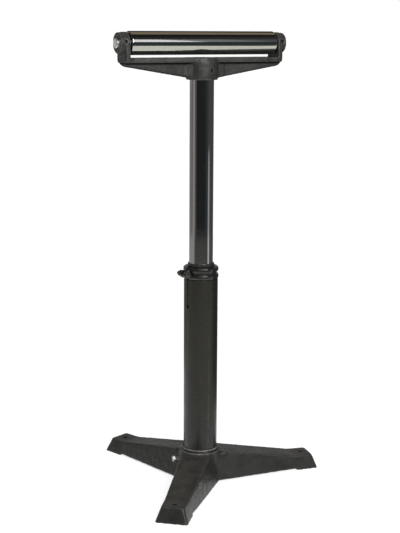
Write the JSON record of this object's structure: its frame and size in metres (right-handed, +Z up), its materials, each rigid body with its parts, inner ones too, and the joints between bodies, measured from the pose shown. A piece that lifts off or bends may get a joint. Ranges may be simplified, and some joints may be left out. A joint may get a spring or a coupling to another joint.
{
  "type": "roller stand",
  "caption": "Floor stand with a cast tripod base, a height-adjustable swivelling post held by a split clamp collar, and a yoke with a free-running steel roller that supports long stock.",
  "frame": {"origin": "on the post's axis at floor level, under the middle of the base casting", "axes": "+Z up along the post, +X along the roller's axis towards its right end, -Y towards the side that the set screws face"},
  "size_m": [0.4892, 0.5108, 1.008],
  "materials": {
    "casting": "dark grey paint on a slightly rough casting",
    "tube_paint": "black semi-gloss paint",
    "chrome": "polished hard chrome",
    "zinc": "bright zinc plate",
    "black_steel": "glossy black finish on machined steel",
    "steel": "ground bare steel",
    "plastic": "black moulded nylon"
  },
  "bodies": {
    "base": {"base_casting": "casting", "base_lock_bolt": "zinc", "outer_tube": "tube_paint", "guide_bush": "plastic", "clamp_collar": "black_steel", "clamp_nut": "black_steel", "clamp_washer_head": "black_steel", "clamp_washer_nut": "black_steel"},
    "clamp_bolt": {"clamp_bolt": "black_steel"},
    "guide": {"lower_guide_ring": "plastic", "guide_clip_lower": "black_steel", "guide_clip_upper": "black_steel"},
    "post": {"post_tube": "chrome", "yoke_casting": "casting", "hub_set_screw": "black_steel", "axle": "steel", "axle_set_screw_left": "black_steel", "axle_set_screw_right": "black_steel", "bearing_inner_ring_left": "steel", "bearing_inner_ring_right": "steel", "axle_spacer_left": "steel", "axle_spacer_right": "steel"},
    "roller": {"roller_tube": "chrome", "bearing_outer_ring_left": "steel", "bearing_outer_ring_right": "steel", "bearing_clip_left": "black_steel", "bearing_clip_right": "black_steel", "roller_end_cap_left": "plastic", "roller_end_cap_right": "plastic"},
    "ball_cage_left": {"ball_cage_left": "steel"},
    "ball_cage_right": {"ball_cage_right": "steel"}
  },
  "joints": [
    {"name": "height_slide", "type": "slide", "parent": "base", "child": "guide", "axis": [0, 0, 1], "range_m": [-0.3324, 0.0538]},
    {"name": "post_swivel", "type": "hinge", "parent": "guide", "child": "post", "pos_m": [0, 0, 0.5], "axis": [0, 0, 1], "continuous": true},
    {"name": "roller_spin", "type": "hinge", "parent": "post", "child": "roller", "pos_m": [0, 0, 0.983], "axis": [1, 0, 0], "continuous": true},
    {"name": "ball_cage_left_spin", "type": "hinge", "parent": "post", "child": "ball_cage_left", "pos_m": [-0.1644, 0, 0.983], "axis": [1, 0, 0], "continuous": true},
    {"name": "ball_cage_right_spin", "type": "hinge", "parent": "post", "child": "ball_cage_right", "pos_m": [0.1644, 0, 0.983], "axis": [1, 0, 0], "continuous": true},
    {"name": "clamp_bolt_turn", "type": "hinge", "parent": "base", "child": "clamp_bolt", "pos_m": [-0.04571, -0.01005, 0.4821], "axis": [0.2147, -0.9767, 0], "range_deg": [0, 360]}
  ],
  "couplings": [
    {"joint": "ball_cage_left_spin", "follows": "roller_spin", "ratio": 0.5973},
    {"joint": "ball_cage_right_spin", "follows": "roller_spin", "ratio": 0.5973}
  ]
}
